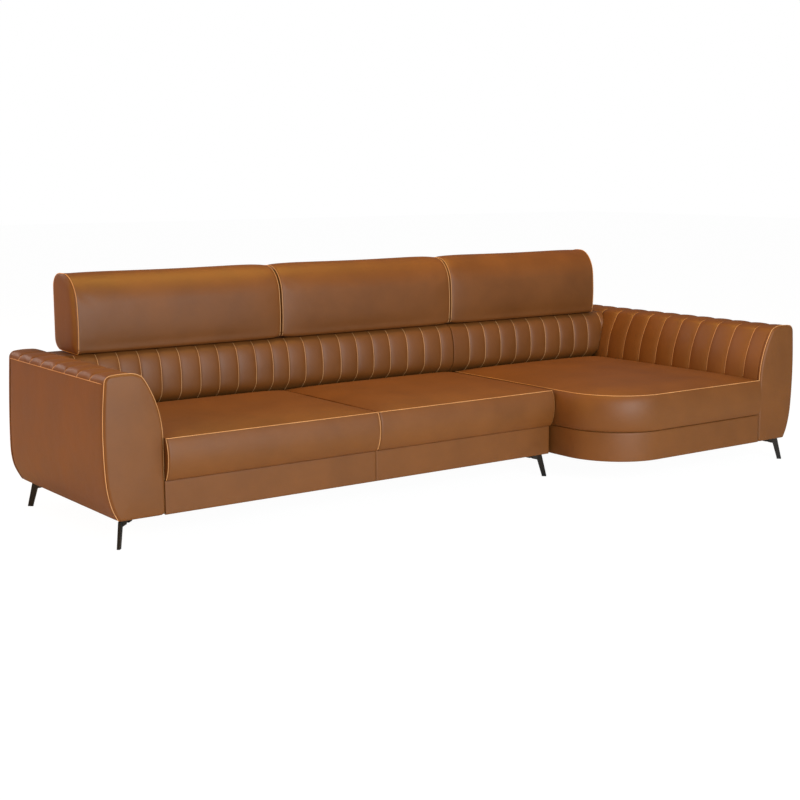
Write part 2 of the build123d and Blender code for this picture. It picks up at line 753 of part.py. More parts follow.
def back_pieces(name, channel, arm_side):
    """Timber, pads and rear panel behind one module's seats."""
    x = module_x[name]
    with BuildPart() as frame:
        for hinge_x, way in module_hinges[name]:
            post_y = (y_post - post_depth + slack, y_post - slack)
            block(span(hinge_x, 0, -way * post_width), post_y, (z_rail, z_post_top))
        for low in (z_post_top - back_rail_height, z_lumbar):
            rail_ends = (base_x[name][0], base_x[name][1])
            block(rail_ends, (y_back_rail, y_back_rail + rail), (low, low + back_rail_height))
        block(rail_ends, (y_post, y_panel), (z_post_top - back_rail_height, z_post_top))
        for hinge_x, way in module_hinges[name]:
            for z in arm_bolts_z:
                room = span(hinge_x, way, -way * rail)
                bar(room, y_axis, z, bolt_radius + hole_slack, Mode.SUBTRACT)
        add(arm_cutters[arm_side], mode=Mode.SUBTRACT)
    save(frame.part, f"{name}_back_frame")

    with BuildPart() as lumbar:
        for place, dip in channel_stations(x[0], x[1], channel, channel):
            with BuildSketch(Plane.YZ.offset(place)):
                add(lumbar_face(dip * channel_depth))
        loft(ruled=True)
        add(arm_cutters[arm_side], mode=Mode.SUBTRACT)
    save(lumbar.part, f"{name}_lumbar_pad")

    with BuildPart() as rear_panel:
        block(x, (y_panel, y_rear), (z_base, back_height))
        add(arm_cutters[arm_side], mode=Mode.SUBTRACT)
    save(rear_panel.part, f"{name}_back_panel")


back_pieces("sofa", sofa_channel, -1)
back_pieces("chaise", chaise_channel, 1)

all_hinges = [hinge for pair in hinges.values() for hinge in pair]
with BuildPart() as back_top_pads:
    for ends in module_x.values():
        block(ends, (y_webbing, y_panel), (z_post_top, back_height))
    for hinge_x, way in all_hinges:
        slot_y = (y_axis - plate * 5, y_axis + plate * 5)
        slot_x = span(hinge_x, -way * side_gap, way * (plate + side_gap))
        block(slot_x, slot_y, (z_post_top, back_height), Mode.SUBTRACT)
    for cutter in arm_cutters.values():
        add(cutter, mode=Mode.SUBTRACT)
save(back_top_pads.part, "back_top_pads")

back_straps = 4
with BuildPart() as back_webbing:
    for left, right in zip(seat_edges, seat_edges[1:]):
        for count in range(back_straps):
            x = left + (right - left) * (count + 0.5) / back_straps
            strap_x = span(x, -back_strap_width / 2, back_strap_width / 2)
            block(strap_x, (y_webbing, y_back_rail), (z_lumbar, z_post_top))
    for cutter in arm_cutters.values():
        add(cutter, mode=Mode.SUBTRACT)
save(back_webbing.part, "back_webbing")


# Headrests: a padded block on a plywood frame, hung on two ratchet hinges
arm_half = 16.0
end_draw = ((0.0, 9.0), (25.0, 4.0), (90.0, 1.0))
pocket_front = y_axis - ratchet_radius - plate
pocket_rear = y_headrest_rear - wrap
pocket_inset = 60.0
core_low = z_axis + ratchet_radius + board / 2
core_high = z_axis + headrest_height * 0.58
top_round = headrest_depth * 0.53
rear_round = headrest_depth * 0.29
lip_round = 18.0
face_bow = 4.0
swing_gap = 0.3
swing_length = headrest_height * 0.52
swing_half = 14.0
pawl_reach = 44.0
pawl_pin = 3.0


def headrest_face(inset):
    """Section of a headrest drawn in by inset, its lower rear edge round about the hinge axis."""
    front, rear = y_headrest + inset, y_headrest_rear - inset
    low, high = z_headrest + inset, z_headrest_top - inset
    corner = hinge_round - inset
    bend = sqrt(0.5)
    face_low = (front + face_bow, low + lip_round)
    face_high = (front + face_bow, high - top_round)
    crest_y = front + face_bow + top_round
    with BuildSketch() as face:
        with BuildLine():
            lip = (front + face_bow + lip_round * (1 - bend), low + lip_round * (1 - bend))
            ThreePointArc((front + face_bow + lip_round, low), lip, face_low)
            ThreePointArc(face_low, (front, (face_low[1] + face_high[1]) / 2), face_high)
            brow = (crest_y - top_round * bend, high - top_round * (1 - bend))
            ThreePointArc(face_high, brow, (crest_y, high))
            Line((crest_y, high), (rear - rear_round, high))
            nape = (rear - rear_round * (1 - bend), high - rear_round * (1 - bend))
            ThreePointArc((rear - rear_round, high), nape, (rear, high - rear_round))
            Line((rear, high - rear_round), (rear, z_axis))
            heel = (y_axis + corner * bend, z_axis - corner * bend)
            ThreePointArc((rear, z_axis), heel, (y_axis, low))
            Line((y_axis, low), (front + face_bow + lip_round, low))
        make_face()
    return face.sketch


def toothed_arm(x, way):
    """Fixed hinge arm: a bar bolted to the post that ends in a toothed head round the axis."""
    low = arm_bolts_z[1] - arm_half
    with BuildPart() as made:
        with BuildSketch(Plane.YZ.offset(x)):
            tips = []
            for tooth in range(ratchet_teeth):
                angle = radians(360 / ratchet_teeth * tooth)
                for radius in (ratchet_radius, ratchet_radius - tooth_depth):
                    tips.append((y_axis + radius * cos(angle), z_axis + radius * sin(angle)))
            with BuildLine():
                Polyline(*tips, close=True)
            make_face()
            with Locations((y_axis, (low + z_axis) / 2)):
                Rectangle(2 * arm_half, z_axis - low)
            with Locations((y_axis, z_axis)):
                Circle(pin_radius + running_fit, mode=Mode.SUBTRACT)
            with Locations(*[(y_axis, z) for z in arm_bolts_z]):
                Circle(bolt_radius + hole_slack, mode=Mode.SUBTRACT)
        extrude(amount=way * plate)
    return made.part


def swing_arm(x, way):
    """Moving hinge arm beside the toothed one, bolted to a rib in the headrest."""
    with BuildPart() as made:
        with BuildSketch(Plane.YZ.offset(x + way * (plate + swing_gap))):
            with Locations((y_axis, z_axis)):
                Circle(arm_half)
            with Locations((y_axis, z_axis + swing_length / 2)):
                Rectangle(2 * swing_half, swing_length)
            with Locations((y_axis, z_axis)):
                Circle(pin_radius + running_fit, mode=Mode.SUBTRACT)
            with Locations((y_axis, z_axis + pawl_reach)):
                Circle(pawl_pin + running_fit, mode=Mode.SUBTRACT)
            with Locations(*[(y_axis, z_axis + swing_length * part) for part in (0.55, 0.85)]):
                Circle(bolt_radius + hole_slack, mode=Mode.SUBTRACT)
        extrude(amount=way * plate)
    return made.part


def pawl(x, way):
    """The catch over the teeth, drawn lifted clear, with its own pin."""
    tip = z_axis + ratchet_radius + 2 * swing_gap
    pivot = z_axis + pawl_reach
    with BuildPart() as made:
        with BuildSketch(Plane.YZ.offset(x)):
            with BuildLine():
                Polyline(
                    (y_axis - tooth_depth, tip),
                    (y_axis + tooth_depth, tip),
                    (y_axis + 3 * tooth_depth, pivot + 3 * tooth_depth),
                    (y_axis - 3 * tooth_depth, pivot + 3 * tooth_depth),
                    close=True,
                )
            make_face()
        extrude(amount=way * plate)
        bar(span(x, 0, way * (2 * plate + swing_gap)), y_axis, pivot, pawl_pin)
    return made.part


def swing_bolts(x, way):
    """Bolts from the moving arm into the rib, in the part being built."""
    face = x + way * (plate + swing_gap)
    for part in (0.55, 0.85):
        z = z_axis + swing_length * part
        bar(span(face, 0, way * (plate + ply * 0.8)), y_axis, z, bolt_radius)
        bar(span(face, 0, -way * plate), y_axis, z, bolt_head_radius)


def headrest_pieces(name):
    """The moving pieces of one headrest."""
    left, right = headrest_ends[name]
    stations = [(left + place, inset) for place, inset in end_draw]
    stations.append(((left + right) / 2, 0.0))
    stations += [(right - place, inset) for place, inset in reversed(end_draw)]
    with BuildPart() as cushion:
        for x, inset in stations:
            with BuildSketch(Plane.YZ.offset(x)):
                add(headrest_face(inset))
        loft(ruled=True)
        pocket_x = (left + pocket_inset, right - pocket_inset)
        block(pocket_x, (pocket_front, pocket_rear), (z_headrest - wrap, core_high), Mode.SUBTRACT)
        for x, way in hinges[name]:
            slot_x = span(x, -way * 2 * plate, way * 4 * plate)
            slot_y = (pocket_front, y_headrest_rear + wrap)
            block(slot_x, slot_y, (z_headrest - wrap, z_axis + arm_half), Mode.SUBTRACT)
    save(cushion.part, f"{name}_headrest_cushion")

    with BuildPart() as core:
        block(pocket_x, (pocket_rear - ply, pocket_rear), (core_low, core_high))
        for x, way in hinges[name]:
            face = x + way * (2 * plate + swing_gap)
            rib_y = (pocket_front + side_gap, pocket_rear - ply - slack)
            block(span(face, 0, way * ply), rib_y, (core_low, core_high))
            for part in (0.55, 0.85):
                room = span(face, 0, way * ply)
                bar(room, y_axis, z_axis + swing_length * part, bolt_radius + hole_slack, Mode.SUBTRACT)
    save(core.part, f"{name}_headrest_frame")

    with BuildPart() as ratchet:
        for x, way in hinges[name]:
            add(swing_arm(x, way))
            add(pawl(x, way))
            swing_bolts(x, way)
    save(ratchet.part, f"{name}_headrest_ratchet")


for headrest_name in headrests:
    headrest_pieces(headrest_name)

with BuildPart() as hinge_arms:
    for x, way in all_hinges:
        add(toothed_arm(x, way))
save(hinge_arms.part, "hinge_arms")

with BuildPart() as hinge_pins:
    for x, way in all_hinges:
        grip = 2 * plate + swing_gap
        bar(span(x, -way * slack, way * (grip + slack)), y_axis, z_axis, pin_radius)
        bar(span(x, -way * slack, -way * plate), y_axis, z_axis, 2 * pin_radius)
        bar(span(x, way * (grip + slack), way * (grip + plate)), y_axis, z_axis, 2 * pin_radius)
save(hinge_pins.part, "hinge_pins")

with BuildPart() as hinge_bolts:
    for x, way in all_hinges:
        for z in arm_bolts_z:
            bar(span(x, -way * rail, way * plate), y_axis, z, bolt_radius)
            bar(span(x, way * plate, way * (plate + bolt_head)), y_axis, z, bolt_head_radius)
save(hinge_bolts.part, "hinge_bolts")
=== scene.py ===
from math import cos, exp, hypot, pi, radians, sin, sqrt, tanh

import bmesh
import bpy
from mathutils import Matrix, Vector


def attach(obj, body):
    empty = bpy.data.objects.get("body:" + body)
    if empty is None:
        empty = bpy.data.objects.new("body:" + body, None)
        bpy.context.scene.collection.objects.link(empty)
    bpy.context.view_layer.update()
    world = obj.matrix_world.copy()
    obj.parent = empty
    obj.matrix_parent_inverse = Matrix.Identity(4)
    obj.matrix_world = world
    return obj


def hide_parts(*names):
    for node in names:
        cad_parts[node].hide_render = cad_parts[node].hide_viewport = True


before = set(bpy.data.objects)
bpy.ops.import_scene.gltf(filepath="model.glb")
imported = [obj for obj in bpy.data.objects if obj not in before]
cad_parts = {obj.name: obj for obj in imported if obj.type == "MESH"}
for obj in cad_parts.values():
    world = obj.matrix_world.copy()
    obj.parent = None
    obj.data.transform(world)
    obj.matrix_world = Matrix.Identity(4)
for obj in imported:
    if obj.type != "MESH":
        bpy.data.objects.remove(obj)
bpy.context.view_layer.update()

scene = bpy.context.scene

# Camera: stands ahead and to the left of the sofa, about 0.4 m above the headrests, and looks down
# on it with a long lens, as the photograph does.
camera_data = bpy.data.cameras.new("camera")
camera_data.lens = 63.3
camera_data.sensor_width = 36.0
camera = bpy.data.objects.new("camera", camera_data)
camera.location = (-3.900, -5.029, 1.421)
camera.rotation_euler = (radians(80.658), 0, radians(-36.508))
scene.collection.objects.link(camera)
scene.camera = camera

# Seat cushions: two leather covers over foam with a rolled nose, laid on the felts between the arms.
# A contrast piping runs along the nose's upper edge and down both of its ends.
# The covers start a little slack, and a cloth simulation swells them between their sewn lines.
X_SEATS = (-1.497, -0.505, 0.487)
X_ARM = 1.497
Y_FRONT = -0.2725
Y_CUSHION_REAR = 0.4675
Z_DECK = 0.245
Z_SEAM = 0.410
SIDE_GAP = 0.002
CROWN = 0.020
CROWN_RUN = 0.050
# How far the nose stands ahead of the frame's front, at parts of the cushion's height
NOSE = (
    (0.0, -0.013),
    (0.05, -0.020),
    (0.25, -0.0325),
    (0.5, -0.0385),
    (0.75, -0.0350),
    (0.9, -0.0275),
    (1.0, -0.0190),
)
END_ROUND = 0.007
SIDE_DRAW = 0.005
# Rings of a cushion's wall, as parts of its height from the sewn edge down
WALL_RINGS = (1.0, 0.985, 0.955, 0.9, 0.82, 0.72, 0.6, 0.48, 0.36, 0.25, 0.15, 0.07, 0.02, 0.0)
HELD_FOOT = Z_DECK + 0.004
HELD_REAR = 0.45
CUSHION_REACH = 0.012
SWELL_FRAMES = 20
MERGE = 1e-6


def colour(code):
    """A hex colour as the linear values that shaders take."""
    parts = [int(code[k:k + 2], 16) / 255 for k in (1, 3, 5)]
    return (*(c / 12.92 if c <= 0.04045 else ((c + 0.055) / 1.055) ** 2.4 for c in parts), 1.0)


def add_node(tree, kind, links=(), **values):
    """Adds a node, sets its properties and inputs, and links (input, socket) pairs."""
    node = tree.nodes.new(kind)
    for key, value in values.items():
        if hasattr(node, key):
            setattr(node, key, value)
        else:
            node.inputs[key.replace("_", " ")].default_value = value
    for key, socket in links:
        tree.links.new(socket, node.inputs[key])
    return node


def new_material(name, **values):
    """A material with its shader's constants set. Returns the material, its tree and its shader."""
    material = bpy.data.materials.new(name)
    material.use_nodes = True
    shader = material.node_tree.nodes["Principled BSDF"]
    for key, value in values.items():
        shader.inputs[key.replace("_", " ")].default_value = value
    return material, material.node_tree, shader


def ramp(tree, socket, *stops):
    """A colour ramp over (place, hex) stops."""
    node = add_node(tree, "ShaderNodeValToRGB", [("Fac", socket)])
    while len(node.color_ramp.elements) < len(stops):
        node.color_ramp.elements.new(0.5)
    for element, (place, code) in zip(node.color_ramp.elements, stops):
        element.position = place
        element.color = colour(code)
    return node.outputs["Color"]


def leather(name, dark, middle, light):
    """Waxed cowhide, drum-dyed and embossed: satin, with a cloudy tone, pull marks and a pebble grain.

    The clouds are about 200 mm across, the pull marks 60 mm, the grain 2.3 mm and the pores 1.1 mm.
    """
    material, tree, shader = new_material(name, Specular_IOR_Level=0.55)
    place = add_node(tree, "ShaderNodeTexCoord").outputs["Object"]
    cloud = add_node(tree, "ShaderNodeTexNoise", [("Vector", place)], Scale=5.0, Detail=5.0, Roughness=0.6)
    tone = ramp(tree, cloud.outputs["Fac"], (0.3, dark), (0.52, middle), (0.75, light))
    grain = add_node(
        tree,
        "ShaderNodeTexVoronoi",
        [("Vector", place)],
        feature="DISTANCE_TO_EDGE",
        Scale=430.0,
    )
    pores = add_node(tree, "ShaderNodeTexNoise", [("Vector", place)], Scale=900.0, Detail=2.0)
    pull = add_node(tree, "ShaderNodeTexNoise", [("Vector", place)], Scale=16.0, Detail=4.0, Roughness=0.55)
    rough = add_node(tree, "ShaderNodeMapRange", [("Value", cloud.outputs["Fac"])])
    rough.inputs["To Min"].default_value = 0.47
    rough.inputs["To Max"].default_value = 0.62
    reliefs = (
        (pull.outputs["Fac"], 0.22, 0.006),
        (grain.outputs["Distance"], 0.35, 0.0004),
        (pores.outputs["Fac"], 0.15, 0.0002),
    )
    links = []
    for height, strength, distance in reliefs:
        links.append(("Height", height))
        relief = add_node(tree, "ShaderNodeBump", links, Strength=strength, Distance=distance)
        links = [("Normal", relief.outputs["Normal"])]
    tree.links.new(tone, shader.inputs["Base Color"])
    tree.links.new(rough.outputs["Result"], shader.inputs["Roughness"])
    tree.links.new(relief.outputs["Normal"], shader.inputs["Normal"])
    return material


cognac = leather("cognac_leather", "#6D4013", "#744516", "#7B4A19")
tan = leather("tan_piping_leather", "#C48E58", "#D29E68", "#DCAC78")


def spread(length, count, edge=(0.003, 0.008, 0.015, 0.028)):
    """Places along a length: close together near both ends and even between."""
    middle = length - 2 * edge[-1]
    inner = [edge[-1] + middle * step / count for step in range(count + 1)]
    return [0.0, *edge[:-1], *inner, *(length - place for place in reversed(edge[:-1])), length]


def curve_through(stops, place):
    """Smooth value at a place between (place, value) stops."""
    for before, after in zip(stops, stops[1:]):
        if place <= after[0]:
            break
    index = stops.index(before)
    prior = stops[max(index - 1, 0)]
    later = stops[min(index + 2, len(stops) - 1)]
    gap = after[0] - before[0]
    part = (place - before[0]) / gap
    start = (after[1] - prior[1]) / (after[0] - prior[0]) * gap
    end = (later[1] - before[1]) / (later[0] - before[0]) * gap
    square, cube = part * part, part ** 3
    value = before[1] * (2 * cube - 3 * square + 1) + start * (cube - 2 * square + part)
    return value + after[1] * (3 * square - 2 * cube) + end * (cube - square)


def drape(bm, across, along, place):
    """A sheet of quads in bm, each grid point where place(i, j) says."""
    made = bmesh.ops.create_grid(bm, x_segments=across, y_segments=along, size=0.5)["verts"]
    for vert in made:
        vert.co = place(round((vert.co.x + 0.5) * across), round((vert.co.y + 0.5) * along))


def skin(bm, sections, capped=True):
    """A closed tube of quads through a row of sections with equal counts of points."""
    count = len(sections[0])
    drape(bm, count, len(sections) - 1, lambda i, j: sections[j][i % count])
    bmesh.ops.remove_doubles(bm, verts=bm.verts, dist=MERGE)
    if capped:
        bmesh.ops.holes_fill(bm, edges=bm.edges)
        bmesh.ops.triangulate(bm, faces=[face for face in bm.faces if len(face.verts) > 4])


def new_piece(name, bm, material=cognac):
    """Links the finished mesh as a smooth-shaded object at the origin."""
    bmesh.ops.recalc_face_normals(bm, faces=bm.faces)
    mesh = bpy.data.meshes.new(name)
    bm.to_mesh(mesh)
    bm.free()
    for face in mesh.polygons:
        face.use_smooth = True
    mesh.materials.append(material)
    piece = bpy.data.objects.new(name, mesh)
    scene.collection.objects.link(piece)
    return piece


def fit(piece, body, nodes=(), levels=1):
    """Smooths a piece, lets it ride on a body and hides the CAD nodes that it stands for."""
    if levels:
        smooth = piece.modifiers.new("smooth", "SUBSURF")
        smooth.levels = smooth.render_levels = levels
    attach(piece, body)
    if nodes:
        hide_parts(*nodes)


def swell(piece, held, reach, pressure=4.0):
    """Blows a cover up from inside with the held points fixed, and moves no point further than reach."""
    group = piece.vertex_groups.new(name="held")
    group.add([v.index for v in piece.data.vertices if held(v.co)], 1.0, "REPLACE")
    cloth = piece.modifiers.new("swell", "CLOTH")
    cloth.settings.quality = 4
    cloth.settings.mass = 0.15
    cloth.settings.tension_stiffness = 12
    cloth.settings.compression_stiffness = 12
    cloth.settings.shear_stiffness = 6
    cloth.settings.bending_stiffness = 2.0
    cloth.settings.use_pressure = True
    cloth.settings.uniform_pressure_force = pressure
    cloth.settings.vertex_group_mass = "held"
    cloth.settings.effector_weights.gravity = 0
    cloth.collision_settings.use_collision = False
    cloth.point_cache.frame_end = SWELL_FRAMES
    for step in range(1, SWELL_FRAMES + 1):
        scene.frame_set(step)
    evaluated = piece.evaluated_get(bpy.context.evaluated_depsgraph_get())
    swollen = bpy.data.meshes.new_from_object(evaluated)
    for vert, moved in zip(piece.data.vertices, swollen.vertices):
        move = moved.co - vert.co
        if move.length > MERGE:
            vert.co += move.normalized() * reach * tanh(move.length / reach)
    piece.modifiers.remove(cloth)
    piece.vertex_groups.remove(group)
    bpy.data.meshes.remove(swollen)
    scene.frame_set(1)


def spot_key(point):
    """A place rounded to a fifth of a millimetre."""
    return tuple(round(c * 5000) for c in point)


def numbers_at(piece, places):
    """Numbers of a piece's points at places, to read a sewn line back after the cover has swollen."""
    index = {spot_key(vert.co): k for k, vert in enumerate(piece.data.vertices)}
    return [index[spot_key(place)] for place in places]


def line_of(piece, order):
    """Places of the numbered points of a piece, in order."""
    return [piece.data.vertices[k].co.copy() for k in order]


def piping(name, lines, body, radius=0.0018, sides=6):
    """Round leather piping laid along lines, as one piece."""
    bm = bmesh.new()
    for line in lines:
        last = len(line) - 1
        ways = [(line[min(k + 1, last)] - line[max(k - 1, 0)]).normalized() for k in range(last + 1)]
        side = ways[0].orthogonal().normalized()
        sections = []
        for point, way in zip(line, ways):
            side = (side - way * side.dot(way)).normalized()
            other = way.cross(side)
            turns = [2 * pi * step / sides for step in range(sides)]
            sections.append([point + (side * cos(turn) + other * sin(turn)) * radius for turn in turns])
        drape(bm, sides, last, lambda i, j: sections[j][i % sides])
    bmesh.ops.remove_doubles(bm, verts=bm.verts, dist=MERGE)
    bmesh.ops.holes_fill(bm, edges=bm.edges)
    fit(new_piece(name, bm, tan), body)


def corner(gap):
    """How far a rounded end falls back at a distance from it."""
    return END_ROUND - sqrt(END_ROUND ** 2 - (END_ROUND - gap) ** 2) if gap < END_ROUND else 0.0


def rise(*gaps):
    """Height of the crown at given distances from the cushion's edges."""
    height = CROWN
    for gap in gaps:
        height *= 1 - exp(-max(gap, 0.0) / CROWN_RUN)
    return height


def seat_cushion(name, left, right):
    """One seat cushion between two places across the sofa, with its piping."""
    width = right - left
    depth = Y_CUSHION_REAR - Y_FRONT - NOSE[-1][1]
    xs = spread(width, 46)
    ys = spread(depth, 34)

    def place(x, y, height):
        end = min(x, width - x)
        front = Y_FRONT + curve_through(NOSE, height) + corner(end)
        part = y / depth
        drawn = SIDE_DRAW * sin(pi * part) * exp(-end / 0.06) * (1 if x < width / 2 else -1)
        top = rise(end, y, depth - y) if height == 1.0 else 0.0
        z = Z_DECK + (Z_SEAM - Z_DECK) * height + top
        return Vector((left + x + drawn, front + (Y_CUSHION_REAR - front) * part, z))

    loop = [(x, 0.0) for x in xs] + [(width, y) for y in ys[1:]]
    loop += [(x, depth) for x in reversed(xs[:-1])] + [(0.0, y) for y in reversed(ys[1:-1])]
    bm = bmesh.new()
    for height in (1.0, 0.0):
        drape(bm, len(xs) - 1, len(ys) - 1, lambda i, j: place(xs[i], ys[j], height))
    skin(bm, [[place(x, y, height) for x, y in loop] for height in WALL_RINGS], capped=False)
    piece = new_piece(name, bm)
    spots = [(0.0, 0.0, height) for height in reversed(WALL_RINGS[1:])] + [(x, 0.0, 1.0) for x in xs]
    spots += [(width, 0.0, height) for height in WALL_RINGS[1:]]
    sewn = numbers_at(piece, [place(*spot) for spot in spots])
    fixed = {tuple(point) for point in line_of(piece, sewn)}

    def held(point):
        beside = min(point.x - left, right - point.x) < 0.01
        return tuple(point) in fixed or point.z < HELD_FOOT or beside or point.y > HELD_REAR

    swell(piece, held, CUSHION_REACH)
    piping(f"{name}_piping", [line_of(piece, sewn)], "sofa")
    fit(piece, "sofa", [f"{name}_cover"])


seat_cushion("left_seat", X_SEATS[0] + SIDE_GAP, X_SEATS[1] - SIDE_GAP)
seat_cushion("middle_seat", X_SEATS[1] + SIDE_GAP, X_SEATS[2] - SIDE_GAP)

# Chaise cushion: the same leather over foam, with a rounded free corner and an upright rolled edge.
# Its piping follows the upper edge from the lumbar pad round the corner to the right arm.
X_CHAISE = 0.501
Y_CHAISE = -0.6675
CHAISE_RIGHT = X_ARM - SIDE_GAP
CHAISE_ROUND = 0.290
CHAISE_WIDTH = 0.984
# How far the wall stands in from the chaise's outline, at parts of the cushion's height
CHAISE_ROLL = (
    (0.0, 0.003),
    (0.05, -0.002),
    (0.25, -0.008),
    (0.5, -0.010),
    (0.75, -0.006),
    (0.9, 0.001),
    (1.0, 0.010),
)
ARC_STEPS = 20
STRAIGHT_STEPS = 44


def chaise_row(step, out):
    """Left end of one row of the chaise, counted back from its front edge."""
    left, front = X_CHAISE + out, Y_CHAISE + out
    if step <= ARC_STEPS:
        turn = pi / 2 * step / ARC_STEPS
        return left + CHAISE_ROUND * (1 - sin(turn)), front + CHAISE_ROUND * (1 - cos(turn))
    straight = Y_CUSHION_REAR - front - CHAISE_ROUND
    part = (step - ARC_STEPS) / STRAIGHT_STEPS
    return left, front + CHAISE_ROUND + straight * (part + 0.16 * part * (1 - part))


def chaise_place(part, step, height):
    """A point of the chaise cushion, part of the way along a row, at a part of its height."""
    out = curve_through(CHAISE_ROLL, height)
    start, y = chaise_row(step, out)
    x = start + (CHAISE_RIGHT - start) * part
    z = Z_DECK + (Z_SEAM - Z_DECK) * height
    if height == 1.0:
        left, front = X_CHAISE + out, Y_CHAISE + out
        dx, dy = left + CHAISE_ROUND - x, front + CHAISE_ROUND - y
        edge = CHAISE_ROUND - hypot(dx, dy) if min(dx, dy) > 0 else CHAISE_ROUND - max(dx, dy)
        z += rise(edge, CHAISE_RIGHT - x, Y_CUSHION_REAR - y)
    return Vector((x, y, z))


parts = [place / CHAISE_WIDTH for place in spread(CHAISE_WIDTH, 46)]
rows = range(ARC_STEPS + STRAIGHT_STEPS + 1)
loop = [(part, 0) for part in parts] + [(1.0, row) for row in rows[1:]]
loop += [(part, rows[-1]) for part in reversed(parts[:-1])] + [(0.0, row) for row in reversed(rows[1:-1])]
bm = bmesh.new()
for height in (1.0, 0.0):
    drape(bm, len(parts) - 1, len(rows) - 1, lambda i, j: chaise_place(parts[i], j, height))
skin(bm, [[chaise_place(part, row, height) for part, row in loop] for height in WALL_RINGS], capped=False)
chaise = new_piece("chaise_cushion", bm)
edge_spots = [(0.0, row) for row in reversed(rows)] + [(part, 0) for part in parts[1:]]
sewn = numbers_at(chaise, [chaise_place(*spot, 1.0) for spot in edge_spots])
fixed = {tuple(point) for point in line_of(chaise, sewn)}


def chaise_held(point):
    """Sewn edge, foot, the sides by the arm and the lumbar pad, and the front of the upper edge."""
    beside = point.x > CHAISE_RIGHT - 0.012 or point.y > HELD_REAR
    ahead = point.y < Y_CHAISE + 0.022 and point.z > Z_SEAM - 0.01
    return tuple(point) in fixed or point.z < HELD_FOOT or beside or ahead


swell(chaise, chaise_held, CUSHION_REACH)
piping("chaise_cushion_piping", [line_of(chaise, sewn)], "sofa")
fit(chaise, "sofa", ["chaise_cover"])

# Headrests: three padded leather blocks, each on its own plywood frame and two ratchet hinges.
# The outer ends of the row are domed, the ends between two headrests lie flat against each other.
# Piping runs round each end, and slits below let the hinge arms through.
HEADREST_ENDS = {"left": (-1.524, -0.507), "middle": (-0.503, 0.485), "right": (0.489, 1.488)}
HINGES = {"left": (-1.297, -0.705), "middle": (-0.305, 0.287), "right": (0.687, 1.297)}
HINGE_AXIS = (0.623, 0.707)
# Slit for a hinge arm: reach to each side of the hinge, front and top
SLIT = (0.008, 0.016, 0.599, 0.723)
SLIT_CLEAR = 0.006
SLIT_EDGE = 0.0005
HEADREST_FRONT = 0.469
HEADREST_REAR = 0.673
HEADREST_LOW = 0.6505
HEADREST_HIGH = 0.985
HEADREST_MIDDLE = (0.569, 0.820)
HEADREST_REACH = 0.009
# Rounding of the section: lower front, upper front (depth, height), upper rear, and round the hinge
TOE = 0.018
BROW = (0.110, 0.140)
NAPE = 0.060
KNUCKLE = 0.050
# Rings of an end, from its middle to where the plain length starts: distance in from the end, inset, scale
FLAT_END = (
    (-0.0015, 0.016, 0.2),
    (-0.001, 0.016, 0.45),
    (0.0, 0.016, 0.7),
    (0.003, 0.016, 0.88),
    (0.005, 0.016, 0.95),
    (0.0, 0.016, 1.0),
    (0.003, 0.0105, 1.0),
    (0.008, 0.0068, 1.0),
    (0.016, 0.0042, 1.0),
    (0.030, 0.0025, 1.0),
)
DOMED_END = (
    (0.0, 0.010, 0.2),
    (0.0, 0.010, 0.45),
    (0.0002, 0.010, 0.65),
    (0.0012, 0.010, 0.77),
    (0.0026, 0.010, 0.86),
    (0.0050, 0.010, 0.93),
    (0.0085, 0.009, 0.98),
    (0.014, 0.0035, 1.0),
    (0.0185, 0.0012, 1.0),
    (0.0205, 0.0022, 1.0),
    (0.0225, 0.0008, 1.0),
    (0.030, 0.0, 1.0),
)


def arc(centre, radius, start, end, count, tall=None):
    """Points of an arc between two angles in degrees, without its first. Given tall, of an ellipse."""
    turns = [radians(start + (end - start) * step / count) for step in range(1, count + 1)]
    return [(centre[0] + radius * cos(turn), centre[1] + (tall or radius) * sin(turn)) for turn in turns]


def run(start, end, count):
    """Even points of a straight run, without its first."""
    return [
        (start[0] + (end[0] - start[0]) * step / count, start[1] + (end[1] - start[1]) * step / count)
        for step in range(1, count + 1)
    ]


def headrest_section(inset, slit=False):
    """Outline of a headrest, looked at from its end, drawn in by inset."""
    front, rear = HEADREST_FRONT + inset, HEADREST_REAR - inset
    low, high = HEADREST_LOW + inset, HEADREST_HIGH - inset
    tall = high - BROW[1] - low - TOE
    face = [(front - 0.004 * sin(pi * step / 12), low + TOE + tall * step / 12) for step in range(13)]
    outline = face + arc((front + BROW[0], high - BROW[1]), BROW[0], 180, 90, 11, BROW[1])
    outline += run((front + BROW[0], high), (rear - NAPE, high), 2)
    outline += arc((rear - NAPE, high - NAPE), NAPE, 90, 0, 7)
    outline += run((rear, high - NAPE), (rear, HINGE_AXIS[1]), 10)
    outline += arc(HINGE_AXIS, KNUCKLE - inset, 0, -90, 7)
    outline += run((HINGE_AXIS[0], HINGE_AXIS[1] - KNUCKLE + inset), (front + TOE, low), 8)
    outline += arc((front + TOE, low + TOE), TOE, -90, -180, 4)[:-1]
    if slit:
        outline = [(y, max(z, SLIT[3]) if y > SLIT[2] else z) for y, z in outline]
    return outline


def end_ring(end, way, domed, gap, inset, scale):
    """One ring of a headrest's end. A domed end is rounder at the front than at the rear."""
    ring = []
    for y, z in headrest_section(inset):
        back = (y - HEADREST_FRONT) / (HEADREST_REAR - HEADREST_FRONT) if domed else 0.0
        y += 0.7 * inset * back
        y = HEADREST_MIDDLE[0] + (y - HEADREST_MIDDLE[0]) * scale
        z = HEADREST_MIDDLE[1] + (z - HEADREST_MIDDLE[1]) * scale
        ring.append(Vector((end + way * gap * (1 - 0.75 * back), y, z)))
    return ring


